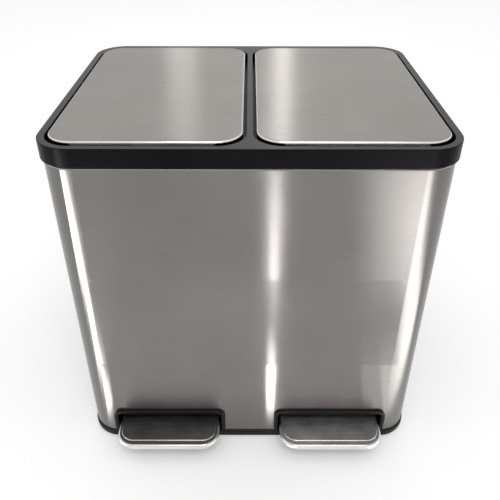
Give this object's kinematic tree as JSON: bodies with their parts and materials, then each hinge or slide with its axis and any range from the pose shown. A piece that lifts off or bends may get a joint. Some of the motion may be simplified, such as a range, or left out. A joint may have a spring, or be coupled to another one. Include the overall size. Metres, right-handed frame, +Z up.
{
  "type": "double recycling bin",
  "caption": "Free-standing steel bin with side-by-side compartments, each with a lift-out bucket and a lid opened by its own pedal.",
  "frame": {"origin": "on the floor, in the middle of the plan, pedals included", "axes": "+X to the right seen from the front, +Y to the back, +Z up"},
  "size_m": [0.41, 0.3766, 0.4085],
  "materials": {
    "shell_steel": "fine horizontal brushing, satin",
    "lid_steel": "fine brushing along the width, satin",
    "pedal_steel": "brushed tread with polished rolled edge",
    "rim_plastic": "satin black moulding",
    "base_plastic": "satin black moulding",
    "surround_plastic": "satin black moulding",
    "core_plastic": "matt black moulding",
    "deck_plastic": "matt black moulding",
    "channel_plastic": "matt black moulding",
    "liner_plastic": "matt black moulding",
    "bucket_plastic": "matt dark grey moulding",
    "bush_plastic": "natural acetal",
    "damper_plastic": "matt moulding",
    "wire_steel": "bright drawn wire",
    "lever_steel": "zinc-plated strip",
    "rod_steel": "zinc-plated bar",
    "pin_steel": "turned bright",
    "screw_steel": "zinc-plated",
    "foot_rubber": "matt black"
  },
  "bodies": {
    "bin": {"body_shell": "shell_steel", "top_collar": "rim_plastic", "collar_screws": "screw_steel", "base_tray": "base_plastic", "feet": "foot_rubber", "base_screws": "screw_steel", "deck": "deck_plastic", "deck_screws": "screw_steel", "pedal_surround_left": "surround_plastic", "pedal_surround_right": "surround_plastic", "lever_axle_left": "pin_steel", "lever_axle_right": "pin_steel", "lever_bushes_left": "bush_plastic", "lever_bushes_right": "bush_plastic", "axle_clips_left": "pin_steel", "axle_clips_right": "pin_steel", "rod_channel_left": "channel_plastic", "rod_channel_right": "channel_plastic", "damper_body_left": "damper_plastic", "damper_body_right": "damper_plastic", "lid_hinge_pin_left": "pin_steel", "lid_hinge_pin_right": "pin_steel", "bucket_left": "bucket_plastic", "bucket_right": "bucket_plastic", "bucket_handle_left": "wire_steel", "bucket_handle_right": "wire_steel"},
    "lid_left": {"lid_panel_left": "lid_steel", "lid_liner_left": "liner_plastic", "crank_pin_left": "pin_steel", "lid_pads_left": "foot_rubber"},
    "push_rod_left": {"push_rod_left": "rod_steel", "rod_foot_pin_left": "pin_steel", "damper_rod_left": "pin_steel"},
    "pedal_left": {"pedal_left": "pedal_steel", "pedal_core_left": "core_plastic", "pedal_screws_left": "screw_steel", "pedal_lever_left": "lever_steel"},
    "lid_right": {"lid_panel_right": "lid_steel", "lid_liner_right": "liner_plastic", "crank_pin_right": "pin_steel", "lid_pads_right": "foot_rubber"},
    "push_rod_right": {"push_rod_right": "rod_steel", "rod_foot_pin_right": "pin_steel", "damper_rod_right": "pin_steel"},
    "pedal_right": {"pedal_right": "pedal_steel", "pedal_core_right": "core_plastic", "pedal_screws_right": "screw_steel", "pedal_lever_right": "lever_steel"}
  },
  "joints": [
    {"name": "lid_hinge_left", "type": "hinge", "parent": "bin", "child": "lid_left", "pos_m": [-0.10022, 0.14775, 0.4005], "axis": [-1, 0, 0], "range_deg": [0, 80]},
    {"name": "push_rod_slide_left", "type": "slide", "parent": "bin", "child": "push_rod_left", "axis": [0, 0, 1], "range_m": [0, 0.02344]},
    {"name": "pedal_hinge_left", "type": "hinge", "parent": "bin", "child": "pedal_left", "pos_m": [-0.105, -0.09175, 0.0275], "axis": [1, 0, 0], "range_deg": [0, 6.02]},
    {"name": "lid_hinge_right", "type": "hinge", "parent": "bin", "child": "lid_right", "pos_m": [0.10022, 0.14775, 0.4005], "axis": [-1, 0, 0], "range_deg": [0, 80]},
    {"name": "push_rod_slide_right", "type": "slide", "parent": "bin", "child": "push_rod_right", "axis": [0, 0, 1], "range_m": [0, 0.02344]},
    {"name": "pedal_hinge_right", "type": "hinge", "parent": "bin", "child": "pedal_right", "pos_m": [0.105, -0.09175, 0.0275], "axis": [1, 0, 0], "range_deg": [0, 6.02]}
  ],
  "couplings": [
    {"joint": "push_rod_slide_left", "follows": "lid_hinge_left", "m_per_rad": 0.016573},
    {"joint": "pedal_hinge_left", "follows": "lid_hinge_left", "ratio": 0.074051},
    {"joint": "push_rod_slide_right", "follows": "lid_hinge_right", "m_per_rad": 0.016573},
    {"joint": "pedal_hinge_right", "follows": "lid_hinge_right", "ratio": 0.074051}
  ]
}
